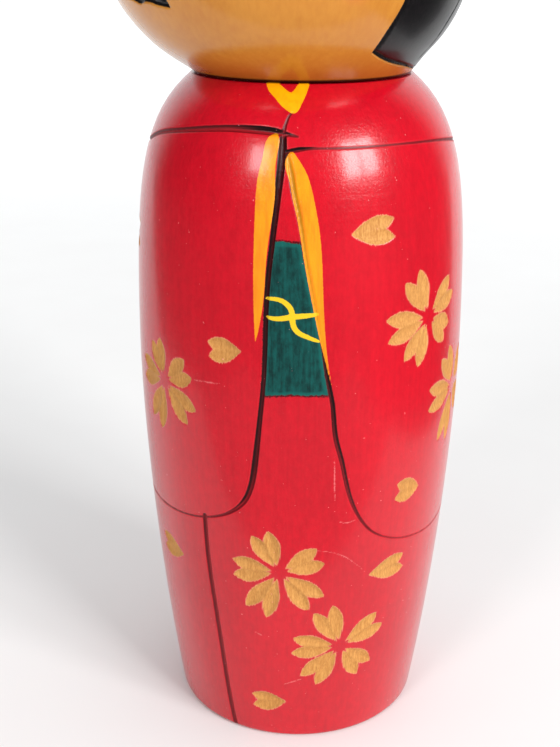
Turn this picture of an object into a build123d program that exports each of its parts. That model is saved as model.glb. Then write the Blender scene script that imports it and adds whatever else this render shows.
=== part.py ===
"""Kokeshi doll: turned wooden body, tilted turned head, and the dowel that the head turns on.

The doll stands on the XY plane, centred on Z, and faces -Y. All lengths are in millimetres.
An azimuth is measured about Z in degrees: 0 is the front, +90 is the +X side, 180 is the back.
"""

from build123d import *
from math import cos, degrees, radians, sin, sqrt
import os

# body: radius at each height of the turned outline, from the base to the head seat
BODY_HEIGHT = 145.0
BODY_OUTLINE = [
    (27.9, 0.0),
    (30.4, 17.4),
    (32.8, 39.2),
    (34.55, 61.0),
    (35.45, 82.6),
    (35.3, 101.5),
    (34.3, 119.0),
    (31.2, 133.4),
    (26.6, 141.4),
    (22.9, BODY_HEIGHT),
]
BASE_ROUNDING = 1.2
SEAT_ROUNDING = 0.5

# head: a flattened sphere that leans to +X and is cut flat where it sits on the body
HEAD_RADIUS = 37.6
HEAD_HALF_HEIGHT = 30.1
HEAD_LEAN = 12.1
HEAD_OFFSET = -3.9
HEAD_CENTRE_HEIGHT = 170.0
HEAD_SEAT_RADIUS = 22.4
HEAD_SKIRT_HEIGHT = 4.0

# neck dowel: glued in the head, free to turn in the body
DOWEL_DIAMETER = 12.0
DOWEL_IN_HEAD = 16.0
DOWEL_IN_BODY = 18.0
DOWEL_CHAMFER = 0.8
BORE_CLEARANCE = 0.05
BORE_SPARE_DEPTH = 1.0

# carved lines of the coat, each drawn on a plane that faces the azimuth given with it
GROOVE_WIDTH = 1.2
GROOVE_DEPTH = 0.7
GROOVES = {
    "collar_left": (-50, [(-2, 136.3), (-14, 137.4), (-32, 137.4), (-55, 135.8), (-85, 131)]),
    "collar_right": (50, [(-5, 133.7), (13, 134.2), (36, 134.1), (64, 133.2), (85, 131)]),
    "collar_back_left": (-130, [(-80, 131.6), (-110, 128.6), (-150, 125), (-181, 124)]),
    "collar_back_right": (130, [(80, 131.6), (110, 128.6), (150, 125), (181, 124)]),
    "opening_top": (0, [(-3.3, 140.1), (-5.9, 138.2), (-6.5, 134), (-7.2, 127.7), (-8.4, 119.7)]),
    "opening": (0, [(-8.3, 120.2), (-10.1, 109.3), (-10.9, 95), (-12.4, 82.5), (-14.6, 70.7)]),
    "hem_left": (-45, [(-14.5, 71.2), (-18.5, 62.3), (-27, 57.8), (-46, 54.4), (-85, 53.4)]),
    "hem_right_top": (10, [(8, 93.5), (10.8, 84.8), (12.4, 76.9), (15.9, 68.1), (22.5, 57.6)]),
    "hem_right": (50, [(22.2, 57.9), (33.4, 51.8), (47.6, 49.1), (64, 48.6), (85, 50.4)]),
    "hem_back_left": (-130, [(-80, 53.5), (-110, 53.4), (-150, 52.6), (-181, 52)]),
    "hem_back_right": (130, [(80, 50), (110, 51.2), (150, 52), (181, 52)]),
    "overlap": (-33, [(-35.2, 56), (-35, 45), (-33.2, 26.3), (-30, 0)]),
}

# cherry blossoms: centre azimuth and height, then the direction and reach of each petal
BLOSSOM_HEART = 2.0
BLOSSOMS = [
    (-6.6, 45.6, [(25, 9.8), (114, 10.0), (181, 10.3), (244, 12.1), (315, 11.2)]),
    (17.6, 25.7, [(27, 10.9), (112, 11.3), (176, 10.8), (233, 11.4), (309, 10.2)]),
    (47.3, 99.5, [(28, 10.6), (118, 10.6), (186, 11.4), (242, 10.1), (325, 9.0)]),
    (68.2, 80.9, [(40, 9.6), (120, 10.3), (181, 11.5), (252, 12.6), (322, 9.8)]),
    (-52.3, 84.4, [(30, 9.2), (113, 9.0), (180, 10.9), (248, 11.8), (324, 10.6)]),
    (150.0, 103.0, [(12, 10.4), (84, 10.8), (156, 10.2), (228, 11.0), (300, 10.6)]),
    (-152.0, 82.0, [(40, 10.8), (112, 10.2), (184, 10.9), (256, 10.6), (328, 10.3)]),
    (122.0, 66.0, [(22, 10.2), (94, 10.7), (166, 10.5), (238, 10.9), (310, 10.2)]),
    (-112.0, 30.0, [(30, 10.6), (102, 10.4), (174, 10.9), (246, 10.2), (318, 10.7)]),
    (170.0, 32.0, [(18, 10.7), (90, 10.3), (162, 10.8), (234, 10.6), (306, 10.2)]),
]
# petals that drift alone: azimuth and height of the pointed end, direction, reach
LOOSE_PETALS = [
    (16.2, 118.4, 3, 9.2),
    (-18.9, 95.0, 184, 7.0),
    (48.1, 61.4, 174, 7.0),
    (27.6, 43.1, 5, 9.2),
    (-4.5, 10.5, 185, 7.6),
    (-49.4, 43.1, 178, 8.6),
    (78.0, 22.0, 20, 8.4),
    (-82.0, 112.0, 150, 8.6),
    (100.0, 116.0, 200, 8.2),
    (-122.0, 106.0, 160, 8.6),
    (178.0, 66.0, 15, 8.4),
    (-84.0, 66.0, 200, 8.4),
    (112.0, 18.0, 190, 8.6),
    (-158.0, 14.0, 10, 8.4),
    (-176.0, 118.0, 175, 8.2),
]
PETAL_SPREAD = 12.5
GOUGE_WIDTH = 3.6
GOUGE_LIFT = 0.95


def outline_radius(height):
    """Radius of the body at a height, read between the points of its outline."""
    for (low_radius, low), (high_radius, high) in zip(BODY_OUTLINE, BODY_OUTLINE[1:]):
        if height <= high:
            share = (height - low) / (high - low)
            return low_radius + share * (high_radius - low_radius)
    return BODY_OUTLINE[-1][0]


def turned_body(inset):
    """The lathe-turned form, with its wall moved inwards by inset."""
    points = [(radius - inset, height) for radius, height in BODY_OUTLINE]
    with BuildPart() as form:
        with BuildSketch(Plane.XZ):
            with BuildLine():
                Spline(*points)
                Polyline(points[-1], (0, BODY_HEIGHT), (0, 0), points[0])
            make_face()
        revolve(axis=Axis.Z)
    return form


def outward_plane(azimuth):
    """A plane through the Z axis whose normal points outwards at the azimuth, with Z as its Y."""
    turn = radians(azimuth)
    return Plane(origin=(0, 0, 0), x_dir=(cos(turn), sin(turn), 0), z_dir=(sin(turn), -cos(turn), 0))


def groove_blade(azimuth, points):
    """A band that follows one carved line and runs from the axis out past the wall."""
    flat = [(outline_radius(height) * sin(radians(turn - azimuth)), height) for turn, height in points]
    with BuildPart() as blade:
        with BuildSketch(outward_plane(azimuth)):
            with BuildLine():
                Spline(*flat)
            trace(line_width=GROOVE_WIDTH)
        extrude(amount=2 * HEAD_RADIUS)
    return blade.part


def surface_plane(azimuth, height, direction, lift):
    """A plane that touches the body wall, with its X along direction and raised by lift."""
    turn = radians(azimuth)
    step = 2.0
    slope = (outline_radius(height + step) - outline_radius(height - step)) / (2 * step)
    outwards = Vector(sin(turn), -cos(turn), 0)
    sideways = Vector(cos(turn), sin(turn), 0)
    upwards = (outwards * slope + Vector(0, 0, 1)).normalized()
    normal = sideways.cross(upwards).normalized()
    along = sideways * cos(radians(direction)) + upwards * sin(radians(direction))
    place = outwards * outline_radius(height) + Vector(0, 0, height) + normal * lift
    return Plane(origin=place, x_dir=along, z_dir=normal)


def gouge_places(azimuth, height, direction, start, reach):
    """The two gouge strokes of one notched petal: each a plane at its middle, and its length."""
    places = []
    length = reach - start
    for side in (-1, 1):
        aim = radians(direction + side * PETAL_SPREAD)
        middle = start + length / 2
        across = middle * cos(aim)
        level = height + middle * sin(aim)
        turn = azimuth + degrees(across / outline_radius(level))
        places.append((surface_plane(turn, level, degrees(aim), GOUGE_LIFT), length))
    return places


def gouge_cutter(place, length):
    """A slim spindle, thick in the middle and pointed at both ends, lying on the wall."""
    with BuildPart() as cutter:
        with BuildSketch(place):
            with BuildLine():
                ThreePointArc((-length * 0.56, 0), (0, GOUGE_WIDTH / 2), (length * 0.56, 0))
                Line((length * 0.56, 0), (-length * 0.56, 0))
            make_face()
        revolve(axis=Axis(place.origin, place.x_dir))
    return cutter.part


def petal_cutters():
    """Every gouge stroke of the blossoms and of the loose petals."""
    strokes = []
    for azimuth, height, petals in BLOSSOMS:
        for direction, reach in petals:
            strokes += gouge_places(azimuth, height, direction, BLOSSOM_HEART, reach)
    for azimuth, height, direction, reach in LOOSE_PETALS:
        strokes += gouge_places(azimuth, height, direction, 0.0, reach)
    return [gouge_cutter(place, length) for place, length in strokes]


groove_floor = turned_body(GROOVE_DEPTH)
with BuildPart() as groove_cutters:
    for facing, line in GROOVES.values():
        add(groove_blade(facing, line))
    add(groove_floor.part, mode=Mode.SUBTRACT)

with BuildPart() as carved:
    add(turned_body(0).part)
    fillet(carved.edges().filter_by(GeomType.CIRCLE).sort_by(Axis.Z)[0], BASE_ROUNDING)
    fillet(carved.edges().filter_by(GeomType.CIRCLE).sort_by(Axis.Z)[-1], SEAT_ROUNDING)
    with Locations((0, 0, BODY_HEIGHT)):
        Hole(DOWEL_DIAMETER / 2 + BORE_CLEARANCE, DOWEL_IN_BODY + BORE_SPARE_DEPTH)
    mouth = carved.edges().filter_by(GeomType.CIRCLE).group_by(Axis.Z)[-1].sort_by(SortBy.RADIUS)[0]
    chamfer(mouth, DOWEL_CHAMFER)
    add(groove_cutters.part, mode=Mode.SUBTRACT)
    add(petal_cutters(), mode=Mode.SUBTRACT)

# loose chips left inside the carving are dropped
with BuildPart() as body:
    add(carved.solids().sort_by(SortBy.VOLUME)[-1])


def leaning_ball():
    """The whole flattened sphere of the head, leaning to +X, at its place above the body."""
    with BuildPart() as ball:
        Sphere(1)
    flattened = scale(ball.part, by=(HEAD_RADIUS, HEAD_RADIUS, HEAD_HALF_HEIGHT))
    return flattened.moved(Location((HEAD_OFFSET, 0, HEAD_CENTRE_HEIGHT), (0, HEAD_LEAN, 0)))


def head_section(level):
    """Centre X and the two half widths of the flattened sphere's outline at a height."""
    lean = radians(HEAD_LEAN)
    drop = level - HEAD_CENTRE_HEIGHT
    extra = 1 / HEAD_HALF_HEIGHT**2 - 1 / HEAD_RADIUS**2
    square = 1 / HEAD_RADIUS**2 + extra * sin(lean) ** 2
    linear = 2 * extra * sin(lean) * cos(lean) * drop
    rest = drop**2 / HEAD_RADIUS**2 + extra * (cos(lean) * drop) ** 2 - 1
    middle = -linear / (2 * square)
    half_x = sqrt(linear**2 - 4 * square * rest) / (2 * square)
    half_y = HEAD_RADIUS * sqrt(-(square * middle**2 + linear * middle + rest))
    return HEAD_OFFSET + middle, half_x, half_y


skirt_top = BODY_HEIGHT + HEAD_SKIRT_HEIGHT
skirt_x, skirt_half_x, skirt_half_y = head_section(skirt_top)

with BuildPart() as head:
    add(leaning_ball())
    split(bisect_by=Plane.XY.offset(skirt_top), keep=Keep.TOP)
    with BuildSketch(Plane.XY.offset(BODY_HEIGHT)):
        Circle(HEAD_SEAT_RADIUS)
    with BuildSketch(Plane.XY.offset(skirt_top)):
        with Locations((skirt_x, 0)):
            Ellipse(skirt_half_x, skirt_half_y)
    loft()
    with Locations(Location((0, 0, BODY_HEIGHT), (180, 0, 0))):
        Hole(DOWEL_DIAMETER / 2, DOWEL_IN_HEAD + BORE_SPARE_DEPTH)

with BuildPart() as neck_dowel:
    with Locations((0, 0, BODY_HEIGHT - DOWEL_IN_BODY)):
        Cylinder(
            DOWEL_DIAMETER / 2,
            DOWEL_IN_BODY + DOWEL_IN_HEAD,
            align=(Align.CENTER, Align.CENTER, Align.MIN),
        )
    chamfer(neck_dowel.edges().filter_by(GeomType.CIRCLE), DOWEL_CHAMFER)

os.makedirs("parts", exist_ok=True)
body.part.label = "body"
head.part.label = "head"
neck_dowel.part.label = "neck_dowel"
export_step(body.part, "parts/body.step")
export_step(head.part, "parts/head.step")
export_step(neck_dowel.part, "parts/neck_dowel.step")
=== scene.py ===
from math import atan2, cos, degrees, pi, radians, sin, sqrt

import bpy
import numpy as np
from mathutils import Matrix, Vector
from mathutils.kdtree import KDTree


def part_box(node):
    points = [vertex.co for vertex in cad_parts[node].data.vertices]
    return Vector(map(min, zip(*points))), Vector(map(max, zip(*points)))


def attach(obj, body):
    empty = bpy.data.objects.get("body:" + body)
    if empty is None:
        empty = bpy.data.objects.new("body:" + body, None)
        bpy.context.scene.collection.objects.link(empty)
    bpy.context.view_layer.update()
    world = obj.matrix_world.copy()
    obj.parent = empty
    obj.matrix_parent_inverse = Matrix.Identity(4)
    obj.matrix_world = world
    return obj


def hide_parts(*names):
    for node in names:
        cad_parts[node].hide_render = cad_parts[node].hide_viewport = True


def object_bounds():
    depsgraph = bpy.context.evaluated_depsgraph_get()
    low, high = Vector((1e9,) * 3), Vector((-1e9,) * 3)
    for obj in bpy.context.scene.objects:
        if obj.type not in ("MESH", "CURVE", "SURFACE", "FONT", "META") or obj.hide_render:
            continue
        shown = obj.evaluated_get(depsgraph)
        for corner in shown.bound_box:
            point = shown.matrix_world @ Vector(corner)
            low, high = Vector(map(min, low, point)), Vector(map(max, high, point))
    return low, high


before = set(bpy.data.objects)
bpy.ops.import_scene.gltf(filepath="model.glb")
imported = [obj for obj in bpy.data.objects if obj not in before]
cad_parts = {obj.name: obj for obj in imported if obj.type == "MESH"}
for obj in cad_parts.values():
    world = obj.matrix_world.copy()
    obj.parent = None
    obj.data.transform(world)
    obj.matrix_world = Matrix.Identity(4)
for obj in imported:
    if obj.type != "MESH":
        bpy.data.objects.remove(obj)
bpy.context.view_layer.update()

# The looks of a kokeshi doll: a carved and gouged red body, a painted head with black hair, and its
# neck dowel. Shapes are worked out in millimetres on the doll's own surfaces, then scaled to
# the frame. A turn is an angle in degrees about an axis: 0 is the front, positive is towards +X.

body_low, body_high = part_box("body")
head_low, head_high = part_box("head")
dowel_low, dowel_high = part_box("neck_dowel")

# ---- driving dimensions, in millimetres

BODY_HEIGHT = 145.0
UNIT = (body_high.z - body_low.z) / BODY_HEIGHT
BODY_OUTLINE = [
    (27.9, 0.0), (30.4, 17.4), (32.8, 39.2), (34.55, 61.0), (35.45, 82.6),
    (35.3, 101.5), (34.3, 119.0), (31.2, 133.4), (26.6, 141.4), (22.9, 145.0),
]
BASE_ROUNDING = 1.2
SEAT_ROUNDING = 0.5
BORE_RADIUS = (dowel_high.x - dowel_low.x) / 2 / UNIT + 0.05
BORE_FLOOR = (dowel_low.z / UNIT) - 1.0

HEAD_RADIUS = 37.6
HEAD_HALF_HEIGHT = 30.1
HEAD_LEAN = radians(12.1)
HEAD_SEAT_RADIUS = 22.4
HEAD_SKIRT_HEIGHT = 4.0
HEAD_RISE = sqrt((HEAD_RADIUS * sin(HEAD_LEAN)) ** 2 + (HEAD_HALF_HEIGHT * cos(HEAD_LEAN)) ** 2)
HEAD_X = (head_low.x + head_high.x) / 2 / UNIT
HEAD_Z = head_high.z / UNIT - HEAD_RISE
SEAM_GAP = 0.03
# height over the body's top of the painted shade and painted reflection of the red body low on the head
UNDERSIDE_SHADE_RISE = 6.0
# heights over the body's top between which the painted shade along the seam fades out
SEAM_SHADE_RISES = (0.35, 0.8)

# edge lengths of the mesh, beside the detail and far from it, and the reach of distance fields
FINEST = 0.3
COARSEST = 2.4
FAR = 3.0

# small depths and heights on the surfaces
PAINT_RISE = 0.1
WALL_SKIN = 3.0
HEAD_INSET = 0.04
HAIR_CUT_DEPTH = 0.62
HAIR_CUT_HALF = 0.55
HAIR_CUT_INSET = 0.45
LOCK_WIDTH = 0.5
UNDERSIDE_DROP, UNDERSIDE_INSET = 15, 1.5

# ---- carved lines of the body
# each row: turn, height, width of the cut, darkness of the colour in it: black paint at the darkest,
# painted shade of the red lacquer below that

COLLAR_LEFT = [
    (-1.2, 136.2, 0.3, 0.5), (-5, 136.6, 0.8, 0.8), (-10, 137, 1.6, 0.9), (-16, 137.2, 1.6, 0.85),
    (-28, 137.1, 1.3, 0.65), (-51, 135.6, 1, 0.6), (-67, 134, 0.9, 0.55), (-85, 131, 0.9, 0.6),
    (-112, 128, 1, 0.7), (-145, 125, 1, 0.7), (-180, 124, 1, 0.7),
]
COLLAR_RIGHT = [
    (-5, 133.6, 0.7, 1), (-1, 134, 0.9, 1), (3, 134.2, 0.5, 0.9), (6, 134.2, 0.35, 0.4),
    (36, 134.1, 0.3, 0.4), (64, 133.2, 0.45, 0.5), (85, 131.5, 0.6, 0.6), (112, 128.4, 0.8, 0.7),
    (145, 125.2, 1, 0.7), (180, 124, 1, 0.7),
]
OPENING = [
    (-3.6, 140.3, 0.3, 0.5), (-4.6, 139.8, 0.45, 0.5), (-5.8, 138.4, 0.55, 0.55), (-6.4, 137, 0.75, 0.7),
    (-6.5, 135.8, 1.35, 1), (-6.5, 134, 1.6, 1), (-7.2, 127.7, 1.4, 1), (-8.4, 119.7, 1.05, 1),
    (-10.1, 109.3, 0.95, 1), (-10.9, 95.1, 0.85, 1), (-11.4, 89, 0.85, 0.95), (-12.6, 81.4, 0.95, 0.95),
    (-14.6, 70.7, 1.25, 0.95), (-16.6, 64.8, 1.15, 0.85), (-18.6, 62.2, 1.1, 0.85), (-21.7, 60, 0.8, 0.6),
    (-27, 57.8, 0.5, 0.5), (-33.5, 56.2, 0.35, 0.45), (-46.5, 54.5, 0.3, 0.45), (-80, 53.5, 0.3, 0.5),
    (-112, 53.2, 0.5, 0.7), (-145, 52.8, 0.7, 0.7), (-180, 52.5, 0.7, 0.7),
]
RIGHT_HEM = [
    (7.7, 95, 0.6, 1), (9.2, 89.7, 0.8, 1), (10.8, 84.8, 0.85, 1), (12.3, 76.9, 0.95, 0.9),
    (14.1, 72.8, 0.9, 0.85), (15.9, 68.1, 0.85, 0.8), (18.7, 62.2, 0.75, 0.7), (22.5, 57.6, 0.55, 0.6),
    (27.2, 54.2, 0.4, 0.55), (33.4, 51.8, 0.25, 0.5), (47.6, 49.3, 0.2, 0.45), (60, 48.6, 0.2, 0.45),
    (80, 49.6, 0.25, 0.5), (112, 51.2, 0.4, 0.7), (145, 52.2, 0.6, 0.7), (180, 52.5, 0.7, 0.7),
]
OVERLAP = [
    (-35.2, 56.2, 1, 0.75), (-35.1, 46, 1.05, 0.7), (-33.7, 33, 1, 0.65), (-32.2, 19.2, 1, 0.65),
    (-30.8, 6, 1, 0.65), (-29.8, 0.5, 1, 0.65),
]
LAPEL_FOLD = [
    (-4.6, 133.4, 0.5, 1), (-3.9, 131.5, 1.1, 1), (-3.1, 129.5, 1.3, 1), (-2.3, 127, 1.3, 1),
    (-1.1, 124, 1.2, 1), (0, 121, 1.1, 1), (0.8, 118.2, 1, 1), (1.7, 114.8, 0.9, 1),
    (3.2, 109.8, 0.8, 1), (4.8, 104.8, 0.75, 1), (6.4, 99.8, 0.7, 1), (7.9, 94.8, 0.6, 1),
]
BODY_GROOVES = [COLLAR_LEFT, COLLAR_RIGHT, OPENING, RIGHT_HEM, OVERLAP, LAPEL_FOLD]
GROOVE_DEPTH_SHARE = 0.62
DEEPEST_GROOVE = 0.75

# ---- painted shapes of the body
# each shape: its edges, round in order, as turn and height

COLLAR_PAINT = (
    [(-17.4, 145.2), (-14.6, 143.7), (-11.8, 142.8), (-9.3, 141.8), (-7, 141), (-4.6, 140.35),
     (-3.1, 140.15), (-1.6, 140.45), (-0.6, 141.2), (0.6, 142.2), (2.1, 143.5), (3.9, 145.2)],
    [(3.9, 145.2), (-1.4, 145.2)],
    [(-1.4, 145.2), (-3.4, 144), (-4.7, 143.5)],
    [(-4.7, 143.5), (-6.2, 143.8), (-8.2, 144.3), (-11.6, 145.2)],
)
LEFT_LAPEL = (
    [(-9.6, 137), (-12.3, 135.5), (-13.1, 133.1), (-14.1, 129.9), (-14.7, 124), (-14.8, 112.6),
     (-14.6, 104), (-14.1, 97.4)],
    [(-13.8, 97.6), (-12.3, 102.2), (-11.3, 107), (-10.8, 112.8), (-9.6, 119.6), (-8.4, 126.2),
     (-8.2, 133.2), (-7.8, 135.6), (-8.6, 136.8)],
)
RIGHT_LAPEL = (
    [(-4, 133.6), (-5.4, 131.8), (-4.1, 129), (-2.8, 125.8), (-1.3, 122.1), (-0.1, 118.5),
     (0.9, 114.9), (2.4, 109.8), (4.2, 104.4), (6, 99.2), (8, 94.2), (10.1, 88.9)],
    [(10.4, 88.7), (9.1, 93.4), (7.9, 100.7), (7.3, 107), (6.8, 114), (5.6, 120.9),
     (4.6, 124.1), (3.5, 127), (2, 129.6), (-0.4, 131.9), (-2.8, 133.6)],
)
SASH = (
    [(-8.8, 117.2), (-9.6, 114), (-10.5, 108), (-10.9, 100), (-11.2, 92), (-11.6, 86.4)],
    [(9.4, 86.7), (8, 92), (6.8, 98.2), (4.7, 104.3), (2.7, 109.5), (0, 117)],
)
SASH_CORD = [
    [(-10.6, 106.2), (-7.4, 106.2), (-4.5, 105.5), (-2.6, 104), (-2.2, 101.8), (-1, 100),
     (1.9, 98.9), (6.2, 97.8)],
    [(-10.5, 102.6), (-7.4, 102.3), (-2.8, 102.7), (1.7, 103), (5.8, 103.3)],
]
CORD_WIDTH = 1.1

# ---- gouged blossoms
# centre turn and height, then direction, reach and half opening angle of each petal

BLOSSOM_HEART = 1.8
BLOSSOMS = [
    (-6.6, 45.6, [(25, 9.9, 13), (114, 10.2, 12), (181, 10.4, 12), (244, 12.2, 13), (315, 11.4, 13)]),
    (17.6, 25.7, [(27, 10.9, 12), (112, 11.3, 12), (176, 10.8, 12), (233, 11.4, 12), (309, 10.2, 13)]),
    (47.3, 99.5, [(28, 10.6, 13), (118, 10.6, 13), (186, 11.4, 13), (242, 10.4, 13), (325, 9, 14)]),
    (68.2, 80.9, [(40, 9.6, 13), (120, 10.3, 13), (181, 11.5, 13), (252, 12.6, 12), (322, 9.8, 13)]),
    (-52.3, 84.4, [(30, 9.2, 14), (113, 9, 13), (180, 10.9, 13), (248, 11.8, 12), (324, 10.6, 13)]),
    (150, 103, [(12, 10.4, 13), (84, 10.8, 13), (156, 10.2, 12), (228, 11, 13), (300, 10.6, 13)]),
    (-152, 82, [(40, 10.8, 13), (112, 10.2, 12), (184, 10.9, 13), (256, 10.6, 13), (328, 10.3, 13)]),
    (122, 66, [(22, 10.2, 13), (94, 10.7, 13), (166, 10.5, 12), (238, 10.9, 13), (310, 10.2, 13)]),
    (-112, 30, [(30, 10.6, 13), (102, 10.4, 13), (174, 10.9, 13), (246, 10.2, 12), (318, 10.7, 13)]),
    (170, 32, [(18, 10.7, 13), (90, 10.3, 12), (162, 10.8, 13), (234, 10.6, 13), (306, 10.2, 13)]),
]
# petals that drift alone: turn and height of the closed end, direction, reach, half opening angle
LOOSE_PETALS = [
    (16.2, 118.4, 4, 9.4, 12), (-18.9, 95, 184, 7.4, 13), (48.1, 61.4, 174, 7.2, 15),
    (27.6, 43.1, 5, 9.6, 11), (-4.5, 10.4, 184, 7.8, 13), (-49.4, 43.1, 178, 9, 12),
    (78, 22, 20, 8.4, 14), (-91, 112, 3, 9.8, 15), (100, 116, 200, 8.2, 14),
    (-122, 106, 160, 8.6, 14), (178, 66, 15, 8.4, 14), (-93.5, 63.5, 0, 8, 14),
    (112, 18, 190, 8.6, 14), (-158, 14, 10, 8.4, 14), (-176, 118, 175, 8.2, 14),
]
GOUGE_HALF_WIDTH = 1.72
GOUGE_DEPTH = 0.55
PETAL_SPREAD_SHARE = 0.92

# pale scratches in the lacquer, as turn and height
SCUFFS = [
    [(6.9, 51.2), (12.4, 50.5), (19.3, 48.1), (25.8, 44.2)],
    [(14, 57.9), (17.7, 57.4), (20.6, 57.8)],
    [(12, 73.6), (12.2, 68), (12.6, 63)],
    [(-37.1, 87.1), (-32, 87.3), (-26.2, 87.6)],
    [(-16.5, 29.3), (-13.7, 28.6)],
    [(-5.5, 15.5), (2.8, 17.4)],
    [(-35.2, 72.1), (-34.8, 71.7)],
    [(-27.2, 66.1), (-26.7, 65.8)],
    [(-24.2, 64.2), (-23.8, 63.7)],
]
SCUFF_WIDTH = 0.26

# ---- painted shapes of the head
# turn about the head's own leaning axis, and latitude on the flattened sphere

HAIR_EDGES = [
    [(-180, -40), (-150, -39.5), (-115, -38), (-85, -35.5), (-62, -33.4), (-51, -32.2),
     (-47.5, -32.6), (-44.5, -31.2), (-38, -30.9), (-32, -30.5)],
    [(-32, -30.5), (-34, -26), (-34, -12), (-33, 2), (-31, 15)],
    [(-31, 15), (-16, 19), (3.5, 20.5), (23, 19), (38, 15)],
    [(38, 15), (40, 2), (39.8, -12), (39, -20), (39.2, -30.5)],
    [(39.2, -30.5), (45, -32.5), (51.5, -33.8), (58, -34.4), (69, -35.2), (92, -36.5),
     (122, -38.5), (155, -39.7), (180, -40)],
]
LOCK_LINES = [
    [(72.5, -33.5), (71.5, -24), (70, -14), (72, -5), (76, 20), (84, 50), (95, 72)],
    [(-65.5, -31.5), (-64.5, -24), (-63, -14), (-65, -5), (-69, 20), (-77, 50), (-88, 72)],
]
EYES = [
    [(-17, -1.5), (-14, 1.2), (-10, 2), (-6, 0.8), (-4, -1.2)],
    [(11, -1.2), (13, 0.8), (17, 2), (21, 1.2), (24, -1.5)],
]
BROWS = [
    [(-18.5, 8.5), (-13.5, 10.6), (-8, 10.8), (-3.8, 9.6)],
    [(10.8, 9.6), (15, 10.8), (20.5, 10.6), (25.5, 8.5)],
]
NOSE = [(2.6, -4.6), (3, -5.6), (3.9, -5.7), (4.5, -4.8)]
MOUTH = [(1.6, -11.4), (2.7, -11), (3.5, -11.35), (4.3, -11), (5.4, -11.4)]
CHEEKS = [(-16, -4.5), (23, -4.5)]


# ---- curves

def spline_bends(at, values, free_ends=True):
    """Second derivatives of the cubic spline through values at the places at."""
    gaps = np.diff(at)
    system = np.eye(len(at))
    right = np.zeros_like(values)
    for i in range(1, len(at) - 1):
        system[i, i - 1:i + 2] = gaps[i - 1], 2 * (gaps[i - 1] + gaps[i]), gaps[i]
        right[i] = 6 * ((values[i + 1] - values[i]) / gaps[i] - (values[i] - values[i - 1]) / gaps[i - 1])
    if not free_ends:
        system[0, :3] = gaps[1], -(gaps[0] + gaps[1]), gaps[0]
        system[-1, -3:] = gaps[-1], -(gaps[-1] + gaps[-2]), gaps[-2]
    return np.linalg.solve(system, right)


def spline_values(at, values, bends, steps):
    """The cubic spline's values at the given steps."""
    i = np.clip(np.searchsorted(at, steps, side="right") - 1, 0, len(at) - 2)
    gap = (at[i + 1] - at[i])[:, None]
    low = (at[i + 1] - steps)[:, None] / gap
    high = 1 - low
    bend = (low**3 - low) * bends[i] + (high**3 - high) * bends[i + 1]
    return low * values[i] + high * values[i + 1] + bend * gap**2 / 6


def smooth_rows(rows, spacing=0.5, turn_scale=0.6):
    """A smooth line through rows of turn, height and any further values."""
    rows = np.array(rows, dtype=float)
    gaps = np.linalg.norm(np.diff(rows[:, :2] * (turn_scale, 1.0), axis=0), axis=1)
    at = np.concatenate([[0.0], np.cumsum(gaps)])
    steps = np.linspace(0.0, at[-1], max(3, int(at[-1] / spacing) + 1))
    line = spline_values(at, rows[:, :2], spline_bends(at, rows[:, :2]), steps)
    extras = [np.interp(steps, at, column)[:, None] for column in rows[:, 2:].T]
    return np.hstack([line, *extras])


def arc_points(centre, radius, start, end, count=8):
    """Points on an arc of radius and height, from one angle to another."""
    angles = np.radians(np.linspace(start, end, count))
    return np.stack([centre[0] + radius * np.cos(angles), centre[1] + radius * np.sin(angles)], axis=1)


# ---- turned surfaces

class Turned:
    """A surface of level oval rings: centre X, half widths along X and Y, and height."""

    def __init__(self, sections):
        rings, rows, start = [], [], 0.0
        for points, spacing in sections:
            points = np.array(points, dtype=float)
            steps = np.linalg.norm(np.diff(points[:, 2:], axis=0), axis=1)
            along = start + np.concatenate([[0.0], np.cumsum(steps)])
            count = max(1, int(np.ceil((along[-1] - start) / spacing)))
            rows += list(np.linspace(start, along[-1], count + 1)[:-1])
            rings.append(np.hstack([along[:, None], points]))
            start = along[-1]
        self.table = np.vstack(rings)
        self.rows = np.array(rows + [start])

    def place(self, turn, along):
        """The point at a turn and a distance along the outline."""
        angle = np.radians(turn)
        centre, half_x, half_y, height = (
            np.interp(along, self.table[:, 0], self.table[:, k]) for k in range(1, 5)
        )
        return np.stack([centre + half_x * np.sin(angle), -half_y * np.cos(angle), height], axis=-1)

    def normals(self, turn, along, step=0.15):
        """Outward normals, from the surface's own slopes."""
        across = self.place(turn + 0.2, along) - self.place(turn - 0.2, along)
        upward = self.place(turn, along + step) - self.place(turn, along - step)
        normal = np.cross(across, upward)
        length = np.linalg.norm(normal, axis=-1, keepdims=True)
        return normal / np.maximum(length, 1e-12)


def start_grid(surface, columns):
    """A closed grid of triangles over the whole surface."""
    count = len(surface.rows)
    turn = np.tile(np.arange(columns) * 360.0 / columns, count)
    along = np.repeat(surface.rows, columns)
    row, column = np.meshgrid(np.arange(count - 1), np.arange(columns), indexing="ij")
    here = (row * columns + column).ravel()
    side = (row * columns + (column + 1) % columns).ravel()
    above, across = here + columns, side + columns
    faces = np.vstack([np.stack([here, side, across], 1), np.stack([here, across, above], 1)])
    return turn, along, faces


def split_edges(turn, along, faces, surface, wanted):
    """One round of refinement, which halves each edge that is too long."""
    sides = np.stack([faces, np.roll(faces, -1, axis=1)], axis=2).reshape(-1, 2)
    edges, index = np.unique(np.sort(sides, axis=1), axis=0, return_inverse=True)
    index = index.reshape(-1, 3)
    a, b = edges.T
    apart = signed_turn(turn[b] - turn[a])
    middle_turn, middle_along = turn[a] + apart / 2, (along[a] + along[b]) / 2
    length = np.linalg.norm(surface.place(turn[a], along[a]) - surface.place(turn[b], along[b]), axis=1)
    cut = length > FINEST * 1.5
    cut[cut] = length[cut] > 1.5 * wanted(surface.place(middle_turn[cut], middle_along[cut]))
    if not cut.any():
        return turn, along, faces, False
    number = np.full(len(edges), -1)
    number[cut] = len(turn) + np.arange(cut.sum())
    turn = np.concatenate([turn, middle_turn[cut]])
    along = np.concatenate([along, middle_along[cut]])
    return turn, along, divide(faces, number[index]), True


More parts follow.
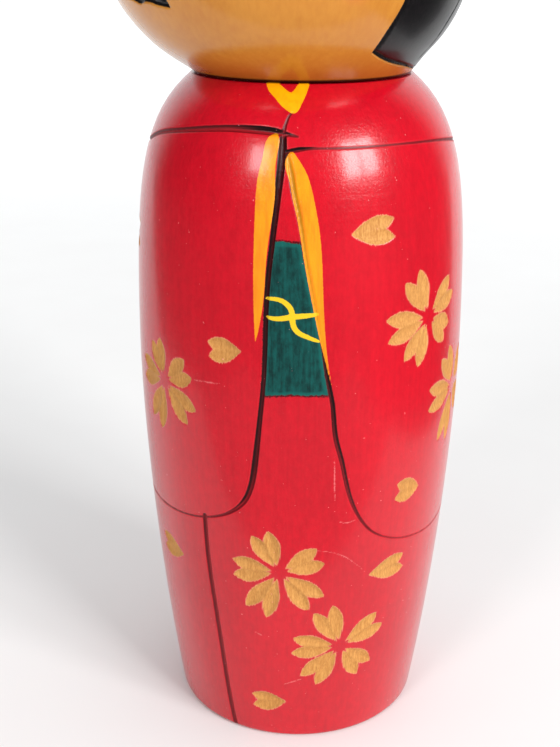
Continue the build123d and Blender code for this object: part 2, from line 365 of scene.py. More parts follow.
def divide(faces, middles):
    """Triangles with some edges cut, made into whole triangles again."""
    marks = middles >= 0
    made = [faces[~marks.any(axis=1)]]
    for turns in range(3):
        rolled, mids = np.roll(faces, -turns, axis=1), np.roll(middles, -turns, axis=1)
        (a, b, c), (ab, bc, _) = rolled.T, mids.T
        one = (mids[:, 0] >= 0) & (mids[:, 1] < 0) & (mids[:, 2] < 0)
        two = (mids[:, 0] >= 0) & (mids[:, 1] >= 0) & (mids[:, 2] < 0)
        made += [np.stack([a, ab, c], 1)[one], np.stack([ab, b, c], 1)[one]]
        made += [np.stack([ab, b, bc], 1)[two], np.stack([a, ab, bc], 1)[two], np.stack([a, bc, c], 1)[two]]
    every = marks.all(axis=1)
    (a, b, c), (ab, bc, ca) = faces[every].T, middles[every].T
    made += [np.stack(three, 1) for three in ((a, ab, ca), (ab, b, bc), (ca, bc, c), (ab, bc, ca))]
    return np.vstack(made)


def refined_grid(surface, columns, detail_points):
    """A grid that is fine beside the detail points and coarse elsewhere."""
    tree = KDTree(len(detail_points))
    for i, point in enumerate(detail_points):
        tree.insert(point, i)
    tree.balance()

    def wanted(points):
        reach = np.array([tree.find(point)[2] for point in points])
        return np.clip(FINEST + 0.5 * (reach - 0.9), FINEST, COARSEST)

    turn, along, faces = start_grid(surface, columns)
    going = True
    while going:
        turn, along, faces, going = split_edges(turn, along, faces, surface, wanted)
    return turn % 360.0, along, faces


# ---- distances on a surface

def distance_to_line(points, line):
    """Distance of each point to a line in space, and where along it is nearest."""
    start, run = line[:-1], np.diff(line, axis=0)
    size = np.maximum((run * run).sum(1), 1e-12)
    reach, place = np.empty(len(points)), np.empty(len(points))
    for low in range(0, len(points), 4000):
        away = points[low:low + 4000, None] - start[None]
        share = np.clip((away * run).sum(2) / size, 0, 1)
        gap = np.linalg.norm(away - share[..., None] * run, axis=2)
        best = gap.argmin(1)
        row = np.arange(len(best))
        reach[low:low + 4000] = gap[row, best]
        place[low:low + 4000] = best + share[row, best]
    return reach, place


def near_box(points, line, margin=2.5):
    """Which points lie in the line's box, widened by margin."""
    return ((points > line.min(0) - margin) & (points < line.max(0) + margin)).all(1)


def inside(turn, level, outline):
    """Which points lie in a closed outline, by counting crossings."""
    turn, level = turn[:, None], level[:, None]
    low, high = outline, np.roll(outline, -1, axis=0)
    spans = (low[:, 1] > level) != (high[:, 1] > level)
    rise = high[:, 1] - low[:, 1]
    rise = np.where(rise == 0, 1e-9, rise)
    crossing = low[:, 0] + (level - low[:, 1]) / rise * (high[:, 0] - low[:, 0])
    return (spans & (turn < crossing)).sum(1) % 2 == 1


def v_cut(share):
    """Depth of a V cut with a slightly rounded bottom: 1 in the middle and 0 at share 1."""
    return 1.06 - np.sqrt(share**2 + 0.0036)


def away_from_cut(gap):
    """0 at a cut's rim and 1 a little way outside it."""
    return np.clip(gap - 0.05, 0, 0.2) / 0.2


def cut_lines(points, lines, locate):
    """Carved lines: depth of cut, distance outside the cut, and darkness of its colour, which is black
    paint and painted shade.
    """
    depth, outside, ink_and_shade = np.zeros(len(points)), np.full(len(points), FAR), np.zeros(len(points))
    for rows in lines:
        line = smooth_rows(rows)
        path = locate(line[:, 0], line[:, 1])
        near = np.flatnonzero(near_box(points, path))
        reach, place = distance_to_line(points[near], path)
        row = np.arange(len(line))
        half = np.interp(place, row, line[:, 2]) / 2
        full = np.minimum(2 * half * GROOVE_DEPTH_SHARE, DEEPEST_GROOVE)
        cut = full * v_cut(reach / half)
        deeper = cut > depth[near]
        depth[near[deeper]] = cut[deeper]
        closer = reach - half < outside[near]
        outside[near[closer]] = (reach - half)[closer]
        # painted light and shade: the lower wall of a cut, where light falls, gets less of the dark colour,
        # and the upper wall keeps painted shade
        below = np.interp(place, row, path[:, 2]) - points[near, 2]
        shade = 1 - 0.55 * np.clip(below / half + 0.2, 0, 0.6) / 0.6
        ink_and_shade[near[closer]] = (np.interp(place, row, line[:, 3]) * shade)[closer]
    return depth, outside, ink_and_shade


def painted_shape(points, turn, level, edges, locate):
    """Signed distance to a painted shape: negative inside it."""
    outline = np.vstack([smooth_rows(edge) for edge in edges])
    path = locate(outline[:, 0], outline[:, 1])
    path = np.vstack([path, path[:1]])
    field = np.full(len(points), FAR)
    near = np.flatnonzero(near_box(points, path))
    reach, _ = distance_to_line(points[near], path)
    within = inside(turn[near], level[near], outline)
    field[near] = np.where(within, -reach, reach)
    return np.clip(field, -FAR, FAR)


def brush_strokes(points, strokes, width, locate):
    """Signed distance to painted strokes that thin out at both ends."""
    field = np.full(len(points), FAR)
    for rows in strokes:
        path = locate(*smooth_rows(rows, 0.3).T)
        near = np.flatnonzero(near_box(points, path))
        reach, place = distance_to_line(points[near], path)
        swell = np.maximum(np.sin(pi * place / (len(path) - 1)), 0) ** 0.5
        half = width / 2 * (0.35 + 0.65 * swell)
        field[near] = np.minimum(field[near], reach - half)
    return field


def signed_turn(turn):
    """The same turn, between -180 and 180."""
    return (turn + 180.0) % 360.0 - 180.0


# ---- the body's surface

OUTLINE_HEIGHTS = np.array([height for _, height in BODY_OUTLINE])
OUTLINE_RADII = np.array([[radius] for radius, _ in BODY_OUTLINE])
OUTLINE_BENDS = spline_bends(OUTLINE_HEIGHTS, OUTLINE_RADII, free_ends=False)
WALL_HEIGHTS = np.linspace(0.0, BODY_HEIGHT, 600)
WALL_RADII = spline_values(OUTLINE_HEIGHTS, OUTLINE_RADII, OUTLINE_BENDS, WALL_HEIGHTS)[:, 0]


def wall_radius(height):
    """Radius of the turned wall at a height."""
    return np.interp(height, WALL_HEIGHTS, WALL_RADII)


def on_wall(turn, height):
    """The point of the uncut wall at a turn and a height."""
    angle, radius = np.radians(turn), wall_radius(height)
    return np.stack([radius * np.sin(angle), -radius * np.cos(angle), np.asarray(height) + 0.0], axis=-1)


def level_rings(points):
    """Rings centred on the Z axis, from points of radius and height."""
    return [(0.0, radius, radius, height) for radius, height in points]


def wall_slope(height):
    """Angle of the wall's outward normal above the level, in degrees."""
    return -degrees(atan2(wall_radius(height + 0.3) - wall_radius(height - 0.3), 0.6))


def body_surface():
    """The whole turned form: base, wall, seat and the bore for the dowel."""
    top = BODY_HEIGHT - SEAM_GAP
    low_slope, high_slope = wall_slope(BASE_ROUNDING), wall_slope(top - SEAT_ROUNDING - 0.3)
    base_at = (wall_radius(BASE_ROUNDING) - BASE_ROUNDING / cos(radians(low_slope)), BASE_ROUNDING)
    seat_height = top - SEAT_ROUNDING
    seat_at = (wall_radius(seat_height) - SEAT_ROUNDING / cos(radians(high_slope)), seat_height)
    base_arc = arc_points(base_at, BASE_ROUNDING, -90, low_slope)
    seat_arc = arc_points(seat_at, SEAT_ROUNDING, high_slope, 90, 6)
    heights = np.arange(base_arc[-1][1] + 0.25, seat_arc[0][1] - 0.1, 0.25)
    wall = [base_arc[-1], *np.stack([wall_radius(heights), heights], 1), seat_arc[0]]
    mouth = BORE_RADIUS + 0.8
    sections = [
        ([(0.0, 0.0), base_arc[0]], 4.0),
        (base_arc, 0.5),
        (wall, COARSEST),
        (seat_arc, 0.25),
        ([seat_arc[-1], (mouth, top)], COARSEST),
        ([(mouth, top), (BORE_RADIUS, top - 0.8)], 1.0),
        ([(BORE_RADIUS, top - 0.8), (BORE_RADIUS, BORE_FLOOR)], 5.0),
        ([(BORE_RADIUS, BORE_FLOOR), (0.0, BORE_FLOOR)], 4.0),
    ]
    return Turned([(level_rings(points), spacing) for points, spacing in sections])


def gouge_strokes():
    """Every gouge stroke, two to a petal."""
    strokes = []
    petals = [(turn, height, BLOSSOM_HEART, petal) for turn, height, five in BLOSSOMS for petal in five]
    petals += [(turn, height, 0.0, petal) for turn, height, *petal in LOOSE_PETALS]
    for turn, height, start, (direction, reach, opening) in petals:
        for side in (-1, 1):
            aim = radians(direction + side * opening * PETAL_SPREAD_SHARE)
            middle = (start + reach) / 2
            level = height + middle * sin(aim)
            place = radians(turn) + middle * cos(aim) / wall_radius(level)
            strokes.append(wall_stroke(place, level, aim, reach - start))
    return strokes


def wall_stroke(place, level, aim, length):
    """A stroke on the wall: its middle, its long and short directions, and its length."""
    outwards = np.array([sin(place), -cos(place), 0.0])
    sideways = np.array([cos(place), sin(place), 0.0])
    slope = (wall_radius(level + 2) - wall_radius(level - 2)) / 4
    upwards = outwards * slope + (0, 0, 1)
    upwards /= np.linalg.norm(upwards)
    long_way = sideways * cos(aim) + upwards * sin(aim)
    short_way = upwards * cos(aim) - sideways * sin(aim)
    return outwards * wall_radius(level) + (0, 0, level), long_way, short_way, length


def leaf_half_width(share):
    """Half width of a gouge cut at a share of its length."""
    return GOUGE_HALF_WIDTH * np.maximum(np.sin(pi * np.clip(share, 0, 1) ** 1.25), 0) ** 0.72


def gouge_outline(stroke, count=14):
    """Points round one gouge cut, for the mesh to be fine there."""
    middle, long_way, short_way, length = stroke
    share = np.linspace(0, 1, count)
    along = (share - 0.5)[:, None] * length * long_way
    across = leaf_half_width(share)[:, None] * short_way
    return np.vstack([middle + along + across, middle + along - across])


def gouge_cuts(points, strokes):
    """Gouged petals: depth of cut, and distance outside the cut."""
    depth, outside = np.zeros(len(points)), np.full(len(points), FAR)
    for middle, long_way, short_way, length in strokes:
        away = points - middle
        near = np.flatnonzero((away * away).sum(1) < (length / 2 + 2.5) ** 2)
        along, across = away[near] @ long_way, np.abs(away[near] @ short_way)
        share = along / length + 0.5
        half = leaf_half_width(share)
        beyond = np.maximum(np.maximum(-share, share - 1), 0) * length
        edge = np.hypot(np.maximum(across - half, 0), beyond) + np.minimum(across - half, 0) * (beyond == 0)
        scoop = GOUGE_DEPTH * np.clip(1 - (across / np.maximum(half, 1e-6)) ** 2, 0, 1)
        scoop *= (beyond == 0) * np.sqrt(half / GOUGE_HALF_WIDTH)
        depth[near] = np.maximum(depth[near], scoop)
        closer = edge < outside[near]
        outside[near[closer]] = edge[closer]
    return depth, outside


# ---- the head's surface

HEAD_CENTRE = np.array([HEAD_X, 0.0, HEAD_Z])
HEAD_TURN = np.array([
    [cos(HEAD_LEAN), 0.0, sin(HEAD_LEAN)],
    [0.0, 1.0, 0.0],
    [-sin(HEAD_LEAN), 0.0, cos(HEAD_LEAN)],
])


def on_head(turn, latitude):
    """The point of the uncut head at a turn about its own axis and a latitude."""
    angle, lift = np.radians(turn), np.radians(latitude)
    flat = HEAD_RADIUS * np.cos(lift)
    own = np.stack([flat * np.sin(angle), -flat * np.cos(angle), HEAD_HALF_HEIGHT * np.sin(lift)], axis=-1)
    return own @ HEAD_TURN.T + HEAD_CENTRE


def head_angles(points):
    """Turn about the head's own axis, and latitude, of points on the head."""
    own = (points - HEAD_CENTRE) @ HEAD_TURN
    turn = np.degrees(np.arctan2(own[:, 0], -own[:, 1]))
    flat = np.hypot(own[:, 0], own[:, 1]) / HEAD_RADIUS
    return turn, np.degrees(np.arctan2(own[:, 2] / HEAD_HALF_HEIGHT, flat))


def head_ring(height):
    """The level ring of the leaning flattened sphere at a height."""
    extra = 1 / HEAD_HALF_HEIGHT**2 - 1 / HEAD_RADIUS**2
    square = 1 / HEAD_RADIUS**2 + extra * sin(HEAD_LEAN) ** 2
    drop = height - HEAD_Z
    shrink = sqrt(max(0.0, 1 - (drop / HEAD_RISE) ** 2))
    centre = HEAD_X - extra * sin(HEAD_LEAN) * cos(HEAD_LEAN) * drop / square
    return np.array([centre, shrink / sqrt(square), shrink * HEAD_RADIUS, height])


def blend_rings(low, middle, high, count=9):
    """A smooth bend between two rings, guided by the ring between them."""
    return [(1 - t) ** 2 * low + 2 * t * (1 - t) * middle + t**2 * high for t in np.linspace(0, 1, count)]


def head_surface():
    """The whole head: bore, seat, rounded rim, skirt and leaning flattened sphere."""
    low = BODY_HEIGHT + SEAM_GAP
    joint = BODY_HEIGHT + HEAD_SKIRT_HEIGHT
    rim = np.array([0.0, HEAD_SEAT_RADIUS - 0.25, HEAD_SEAT_RADIUS - 0.25, low])
    foot = np.array([0.0, HEAD_SEAT_RADIUS + 0.2, HEAD_SEAT_RADIUS + 0.2, low + 0.35])
    meeting = head_ring(joint)
    bend_low = meeting + (foot - meeting) * 0.45
    bend_high = head_ring(joint + 1.8)
    lifts = np.linspace((bend_high[3] - HEAD_Z) / HEAD_RISE, 1.0, 400)
    angles = np.linspace(np.arcsin(lifts[0]), pi / 2, 400)
    dome = [head_ring(HEAD_Z + HEAD_RISE * sin(angle)) for angle in angles]
    bore = BORE_RADIUS - 0.05
    roof = dowel_high.z / UNIT + 1.0
    sections = [
        (level_rings([(0.0, roof), (bore, roof)]), 4.0),
        (level_rings([(bore, roof), (bore, low)]), 5.0),
        ([(0.0, bore, bore, low), rim], COARSEST),
        (blend_rings(rim, np.array([0.0, HEAD_SEAT_RADIUS + 0.1, HEAD_SEAT_RADIUS + 0.1, low]), foot), 0.2),
        ([foot, bend_low], 1.2),
        (blend_rings(bend_low, meeting, bend_high), 0.6),
        (dome, COARSEST),
    ]
    return Turned(sections)


def hair_line():
    """The hair's whole edge, from the back, round the face and back again."""
    return np.vstack([smooth_rows(edge, 0.4, 0.62) for edge in HAIR_EDGES])


# ---- meshes

def weld_poles(turn, along, faces, surface):
    """Makes each end of the outline, where the ring has no width, one point."""
    points = surface.place(turn, along)
    new = np.arange(len(turn))
    for end in (surface.table[0, 0], surface.table[-1, 0]):
        same = np.flatnonzero(np.abs(along - end) < 1e-9)
        new[same] = same[0]
    faces = new[faces]
    whole = (faces[:, 0] != faces[:, 1]) & (faces[:, 1] != faces[:, 2]) & (faces[:, 2] != faces[:, 0])
    faces = faces[whole]
    used, index = np.unique(faces, return_inverse=True)
    return turn[used], along[used], index.reshape(-1, 3), points[used]


def make_piece(name, points, faces, fields, plain_normals, plain_share):
    """A smooth mesh with its fields as attributes, and plain normals where nothing is cut."""
    mesh = bpy.data.meshes.new(name)
    mesh.from_pydata((points * UNIT).tolist(), [], faces.tolist())
    mesh.shade_smooth()
    for label, values in fields.items():
        layer = mesh.attributes.new(label, "FLOAT", "POINT")
        layer.data.foreach_set("value", np.ascontiguousarray(values, dtype=np.float32))
    mesh.update()
    made = np.empty(len(points) * 3, dtype=np.float32)
    mesh.vertex_normals.foreach_get("vector", made)
    made = made.reshape(-1, 3)
    known = np.linalg.norm(plain_normals, axis=1) > 0.5
    mixed = made + (plain_normals - made) * (plain_share * known)[:, None]
    mixed /= np.linalg.norm(mixed, axis=1, keepdims=True)
    mesh.normals_split_custom_set_from_vertices(mixed.tolist())
    piece = bpy.data.objects.new(name, mesh)
    bpy.context.scene.collection.objects.link(piece)
    return piece


def ramp(values, low, high):
    """0 below low, 1 above high, and smooth between."""
    share = np.clip((values - low) / (high - low), 0, 1)
    return share * share * (3 - 2 * share)


def make_body():
    """The body with its carved lines, gouged petals and painted shapes."""
    surface = body_surface()
    strokes = gouge_strokes()
    shapes = {"collar": COLLAR_PAINT, "left_lapel": LEFT_LAPEL, "right_lapel": RIGHT_LAPEL, "sash": SASH}
    detail = [on_wall(*smooth_rows(rows)[:, :2].T) for rows in BODY_GROOVES]
    detail += [gouge_outline(stroke) for stroke in strokes]
    detail += [on_wall(*smooth_rows(edge).T) for edges in shapes.values() for edge in edges]
    detail += [on_wall(*smooth_rows(rows).T) for rows in SASH_CORD + SCUFFS]
    turn, along, faces = refined_grid(surface, 96, np.vstack(detail))
    turn, along, faces, points = weld_poles(turn, along, faces, surface)
    normals = surface.normals(turn, along)
    level, facing = points[:, 2], signed_turn(turn)
    off_wall = np.hypot(points[:, 0], points[:, 1]) < wall_radius(level) - WALL_SKIN
    groove_depth, groove, ink_and_shade = cut_lines(points, BODY_GROOVES, on_wall)
    petal_depth, petal = gouge_cuts(points, strokes)
    fields = {
        label: painted_shape(points, facing, level, edges, on_wall) for label, edges in shapes.items()
    }
    lapel = np.minimum(np.minimum(fields["left_lapel"], fields["right_lapel"]), fields["collar"])
    cord = brush_strokes(points, SASH_CORD, CORD_WIDTH, on_wall)
    scuff = brush_strokes(points, SCUFFS, SCUFF_WIDTH, on_wall)
    cut = np.maximum(np.maximum(groove_depth, petal_depth), 0)
    cut[off_wall] = 0
    raised = PAINT_RISE * (ramp(-lapel, 0.0, 0.4) + ramp(-cord, 0.0, 0.4))
    points = points + normals * (raised - cut - PAINT_RISE)[:, None]
    plain = away_from_cut(np.minimum(groove, petal))
    fields |= {"groove": groove, "ink_and_shade": ink_and_shade, "petal": petal, "lapel": lapel, "cord": cord, "scuff": scuff}
    del fields["left_lapel"], fields["right_lapel"]
    fields["bare"] = off_wall * 1.0
    return make_piece("body_lacquered", points, faces, fields, normals, plain)


def make_head():
    """The head with its hair edge, lock lines and painted face."""
    surface = head_surface()
    edge = hair_line()
    path = on_head(*edge.T)
    strokes = {"lines": (EYES, 0.9), "brows": (BROWS, 0.45), "nose": ([NOSE], 0.4), "mouth": ([MOUTH], 1.3)}
    detail = [path] + [on_head(*smooth_rows(rows)[:, :2].T) for rows in LOCK_LINES]
    detail += [on_head(*smooth_rows(rows).T) for lines, _ in strokes.values() for rows in lines]
    turn, along, faces = refined_grid(surface, 96, np.vstack(detail))
    turn, along, faces, points = weld_poles(turn, along, faces, surface)
    normals = surface.normals(turn, along)
    own_turn, latitude = head_angles(points)
    low = points[:, 2] < HEAD_Z - UNDERSIDE_DROP
    hidden = low & (np.hypot(points[:, 0], points[:, 1]) < HEAD_SEAT_RADIUS - UNDERSIDE_INSET)
    reach, _ = distance_to_line(points, path)
    crown = np.vstack([edge, [(180.0, 100.0), (-180.0, 100.0)]])
    hair = np.where(inside(own_turn, latitude, crown), -reach, reach)
    hair = np.clip(hair, -FAR, FAR)
    hair_cut = np.abs(hair + HAIR_CUT_INSET)
    cut = HAIR_CUT_DEPTH * v_cut(hair_cut / HAIR_CUT_HALF)
    lock_rows = [[(*place, LOCK_WIDTH, 1.0) for place in rows] for rows in LOCK_LINES]
    lock_depth, lock, _ = cut_lines(points, lock_rows, on_head)
    cut = np.maximum(np.maximum(cut, lock_depth), 0)
    cut[hidden] = 0
    points = points - normals * (cut + HEAD_INSET)[:, None]
    plain = np.maximum(away_from_cut(np.minimum(hair_cut - HAIR_CUT_HALF, lock)), hidden)
    fields = {
        label: brush_strokes(points, lines, width, on_head) for label, (lines, width) in strokes.items()
    }
    cheeks = [np.linalg.norm(points - on_head(*place), axis=1) for place in CHEEKS]
    fields["cheek"] = np.minimum(*cheeks)
    fields |= {"hair": hair, "bare": hidden * 1.0}
    return make_piece("head_painted", points, faces, fields, normals, plain)


# ---- materials

def paint(red, green, blue):
    """A linear colour from screen values of 0 to 255."""
    return (*(((v / 255 + 0.055) / 1.055) ** 2.4 if v > 10 else v / 3295 for v in (red, green, blue)), 1.0)


class NodeWork:
    """A node tree under construction."""

    def __init__(self, owner, shader, coordinates):
        owner.use_nodes = True
        self.tree = owner.node_tree
        self.shader = self.tree.nodes[shader]
        self.place = self.node("ShaderNodeTexCoord").outputs[coordinates]

    def node(self, kind, inputs=(), **settings):
        """A node with its settings and its inputs, by name or in order from the first."""
        made = self.tree.nodes.new(kind)
        for key, value in settings.items():
            setattr(made, key, value)
        for key, value in inputs.items() if isinstance(inputs, dict) else enumerate(inputs):
            self.put(made.inputs[key], value)
        return made

    def put(self, socket, value):
        """Links a socket to another, or sets its plain value."""
        if isinstance(value, bpy.types.NodeSocket):
            self.tree.links.new(value, socket)
        elif value is not None:
            socket.default_value = value

    def math(self, operation, *values, clamp=False):
        """The result of one Math node."""
        return self.node("ShaderNodeMath", values, operation=operation, use_clamp=clamp).outputs[0]

    def times(self, first, second):
        """The product of two values."""
        return self.math("MULTIPLY", first, second)

    def most(self, *values):
        """The greatest of several values."""
        first, *others = values
        return self.math("MAXIMUM", first, self.most(*others)) if others else first

    def mix(self, share, low, high):
        """A colour: low where share is 0, high where it is 1."""
        made = self.node("ShaderNodeMix", (share,), data_type="RGBA")
        self.put(made.inputs[6], low)
        self.put(made.inputs[7], high)
        return made.outputs[2]

    def blend(self, share, low, high):
        """A number: low where share is 0, high where it is 1."""
        made = self.node("ShaderNodeMix", (share,), data_type="FLOAT")
        self.put(made.inputs[2], low)
        self.put(made.inputs[3], high)
        return made.outputs[0]

    def spread(self, value, low, high, first=0.0, last=1.0):
        """A value from low to high, spread smoothly over first to last."""
        inputs = (value, low, high, first, last)
        return self.node("ShaderNodeMapRange", inputs, interpolation_type="SMOOTHSTEP").outputs[0]

    def finish(self, **values):
        """Sets the shader's own inputs. Underscores stand for spaces."""
        for key, value in values.items():
            self.put(self.shader.inputs[key.replace("_", " ")], value)


class Finish(NodeWork):
    """A material under construction."""

    def __init__(self, name):
        self.material = bpy.data.materials.new(name)
        super().__init__(self.material, "Principled BSDF", "Object")

    def finish(self, **values):
        """Sets the shader's own inputs and gives the material."""
        super().finish(**values)
        return self.material

    def noise(self, per_mm, detail=3, roughness=0.55):
        """Cloudy noise from 0 to 1, with its waves a millimetre along X, Y and Z."""
        scale = [value / UNIT for value in per_mm]
        moved = self.node("ShaderNodeMapping", (self.place, None, None, scale))
        inputs = dict(Vector=moved.outputs[0], Scale=1.0, Detail=detail, Roughness=roughness)
        return self.node("ShaderNodeTexNoise", inputs, noise_dimensions="3D").outputs[0]

    def field(self, name):
        """One of the piece's own fields."""
        return self.node("ShaderNodeAttribute", attribute_name=name).outputs["Fac"]

    def within(self, field, edge=0.0, soft=0.06, ragged=None, amount=0.0):
        """1 where a field is below edge, with an edge that may be ragged."""
        if ragged is not None:
            wander = self.math("MULTIPLY_ADD", ragged, amount, -amount / 2)
            field = self.math("ADD", field, wander)
        return self.spread(field, edge - soft, edge + soft, 1.0, 0.0)

    def bump(self, height, rise_mm, below=None):
        """A surface normal bent by a height of rise_mm where the value is 1."""
        inputs = dict(Strength=1.0, Distance=rise_mm * UNIT, Height=height, Normal=below)
        return self.node("ShaderNodeBump", inputs).outputs[0]


LACQUER = dict(IOR=1.5, Specular_IOR_Level=0.25, Coat_Roughness=0.15, Coat_IOR=1.5)
WOOD_LIGHT, WOOD_DARK = paint(207, 151, 82), paint(173, 114, 53)


def wood_colour(finish):
    """Pale turned wood with grain along Z."""
    streaks = finish.noise((2.6, 2.6, 0.14), detail=4)
    pores = finish.noise((5.0, 5.0, 1.2))
    tone = finish.math("MULTIPLY_ADD", pores, 0.6, finish.times(streaks, 0.6), clamp=True)
    return finish.mix(finish.spread(tone, 0.35, 0.8), WOOD_LIGHT, WOOD_DARK), tone


def body_finish():
    """Red lacquer with carving in black paint and painted shade, bare gouges and brushed paint."""
    f = Finish("red_lacquer")
    ragged = f.noise((2.2, 2.2, 2.2), detail=4, roughness=0.7)
    splinters = f.noise((3.2, 3.2, 0.22), roughness=0.65)
    grain = f.noise((1.3, 1.3, 0.045), detail=5, roughness=0.6)
    clouds = f.noise((0.045, 0.045, 0.02), detail=2)
    mottle = f.noise((0.8, 0.8, 0.5), detail=4, roughness=0.65)
    tone = f.math("MULTIPLY_ADD", grain, 0.3, f.times(f.blend(0.5, clouds, mottle), 0.8))
    colour = f.mix(f.spread(tone, 0.35, 0.75), paint(196, 3, 28), paint(170, 2, 23))
    # brushed sash and its dark edge
    wander = f.noise((0.9, 0.9, 0.9), detail=5, roughness=0.65)
    sash = f.within(f.field("sash"), ragged=wander, amount=1.6)
    strokes = f.blend(0.5, f.noise((1.5, 1.5, 0.14), detail=4, roughness=0.6), mottle)
    teal = f.mix(f.spread(strokes, 0.32, 0.68), paint(0, 42, 40), paint(0, 78, 73))
    teal = f.mix(f.spread(f.field("sash"), -1.1, -0.5, 0.0, 0.5), teal, paint(0, 96, 88))
    edge = f.within(f.field("sash"), edge=0.42, soft=0.18, ragged=ragged, amount=1.5)
    colour = f.mix(f.times(edge, 0.85), colour, paint(34, 6, 12))
    colour = f.mix(sash, colour, teal)
    # carving: black paint in the cuts, and painted shade (dark maroon walls, a lighter red floor) where the
    # cuts are not black
    ink_and_shade = f.field("ink_and_shade")
    groove = f.field("groove")
    ink_and_shade_mask = f.within(groove, edge=0.05, soft=0.07, ragged=ragged, amount=0.14)
    floor = f.times(f.within(groove, edge=-0.28, soft=0.12), f.spread(ink_and_shade, 0.9, 0.5))
    shade = f.mix(f.spread(ink_and_shade, 0.35, 0.9), paint(112, 5, 18), paint(20, 3, 6))
    colour = f.mix(ink_and_shade_mask, colour, f.mix(floor, shade, paint(150, 18, 28)))
    # yellow paint
    brush = f.spread(f.noise((0.9, 0.9, 0.12)), 0.35, 0.75)
    yellow = f.mix(brush, paint(238, 142, 1), paint(224, 122, 1))
    # painted shade: olive on the floor of the carved line under the right lapel's yellow paint
    fold_shade = f.within(groove, edge=-0.22, soft=0.2)
    yellow = f.mix(f.times(fold_shade, 0.75), yellow, paint(170, 124, 4))
    lapel = f.within(f.field("lapel"), ragged=ragged, amount=0.25)
    colour = f.mix(lapel, colour, yellow)
    collar = f.within(f.field("collar"), ragged=ragged, amount=0.25)
    colour = f.mix(collar, colour, f.mix(brush, paint(244, 162, 2), paint(236, 148, 1)))
    cord = f.within(f.field("cord"), ragged=ragged, amount=0.25)
    colour = f.mix(cord, colour, paint(214, 176, 18))
    # bare gouges
    petal = f.field("petal")
    gouged = f.within(petal, soft=0.05, ragged=splinters, amount=0.9)
    near_petal = f.within(petal, edge=0.12, soft=0.1, ragged=splinters, amount=0.9)
    rim = f.times(near_petal, f.within(f.times(petal, -1.0), edge=0.1, soft=0.1))
    wood, wood_tone = wood_colour(f)
    colour = f.mix(gouged, colour, wood)
    colour = f.mix(f.times(rim, 0.4), colour, paint(236, 150, 120))
    scuff = f.times(f.within(f.field("scuff"), ragged=ragged, amount=0.6), 0.32)
    colour = f.mix(scuff, colour, paint(240, 150, 150))
    dust = f.spread(f.noise((1.6, 1.6, 1.6), detail=1), 0.78, 0.81, 0.0, 0.45)
    colour = f.mix(dust, colour, paint(250, 160, 160))
    bare = f.spread(f.field("bare"), 0.4, 0.6)
    colour = f.mix(bare, colour, wood)
    open_wood = f.most(gouged, bare)
    painted = f.most(sash, f.times(f.most(lapel, collar), 0.4))
    matt = f.most(painted, f.within(groove, edge=0.22, soft=0.16))
    rough = f.blend(open_wood, f.blend(matt, 0.26, 0.42), 0.62)
    coat = f.blend(open_wood, f.blend(matt, 0.52, 0.1), 0.0)
    peel = f.noise((2.2, 2.2, 1.8))
    rings = f.noise((0.02, 0.02, 1.2))
    normal = f.bump(rings, 0.035, f.bump(peel, 0.055))
    normal = f.bump(f.times(open_wood, wood_tone), 0.1, normal)
    return f.finish(Base_Color=colour, Roughness=rough, Coat_Weight=coat, Normal=normal, **LACQUER)


def head_finish():
    """Clear lacquer over pale orange wood, with black hair and a painted face."""
    f = Finish("head_lacquer")
    ragged = f.noise((1.6, 1.6, 1.6), roughness=0.6)
    grain = f.noise((0.9, 0.9, 0.05), detail=5)
    clouds = f.noise((0.05, 0.05, 0.05), detail=2)
    tone = f.math("MULTIPLY_ADD", grain, 0.5, f.times(clouds, 0.6))
    colour = f.mix(f.spread(tone, 0.35, 0.75), paint(192, 127, 46), paint(180, 113, 38))
    blush = f.spread(f.field("cheek"), 0.5, 6.0, 0.55, 0.0)
    colour = f.mix(blush, colour, paint(228, 92, 66))
    speck = f.spread(f.noise((0.35, 0.35, 0.35), detail=2), 0.74, 0.8)
    colour = f.mix(f.times(speck, 0.25), colour, paint(170, 100, 48))
    strokes = f.math("MINIMUM", f.field("lines"), f.math("MINIMUM", f.field("brows"), f.field("nose")))
    colour = f.mix(f.within(strokes, ragged=ragged, amount=0.12), colour, paint(22, 14, 14))
    colour = f.mix(f.within(f.field("mouth"), ragged=ragged, amount=0.12), colour, paint(196, 20, 30))
    height = f.node("ShaderNodeSeparateXYZ", (f.place,)).outputs["Z"]
    # painted shade and painted reflection of the red body: orange brown on the head's lowest part, fading
    # upwards
    underside_shade = f.spread(height, BODY_HEIGHT * UNIT, (BODY_HEIGHT + UNDERSIDE_SHADE_RISE) * UNIT, 0.6, 0.0)
    colour = f.mix(underside_shade, colour, paint(146, 62, 12))
    # painted shade: a dark band along the seam between head and body, with its coat taken off so no
    # highlight shows there
    seam_shade_low, seam_shade_high = ((BODY_HEIGHT + rise) * UNIT for rise in SEAM_SHADE_RISES)
    seam_shade = f.spread(height, seam_shade_low, seam_shade_high, 1.0, 0.0)
    colour = f.mix(seam_shade, colour, paint(48, 14, 6))
    hair = f.within(f.field("hair"), soft=0.08, ragged=ragged, amount=0.2)
    strands = f.noise((2.4, 2.4, 0.12))
    black = f.mix(f.spread(strands, 0.4, 0.75), paint(12, 10, 12), paint(26, 22, 24))
    colour = f.mix(hair, colour, black)
    wood = wood_colour(f)[0]
    bare = f.spread(f.field("bare"), 0.4, 0.6)
    colour = f.mix(bare, colour, wood)
    rough = f.blend(bare, f.blend(hair, 0.24, 0.34), 0.62)
    peel = f.noise((1.2, 1.2, 1.0))
    normal = f.bump(peel, 0.015)
    coat = f.blend(f.most(bare, seam_shade), f.blend(hair, 0.58, 0.22), 0.0)
    return f.finish(Base_Color=colour, Roughness=rough, Coat_Weight=coat, Normal=normal, **LACQUER)


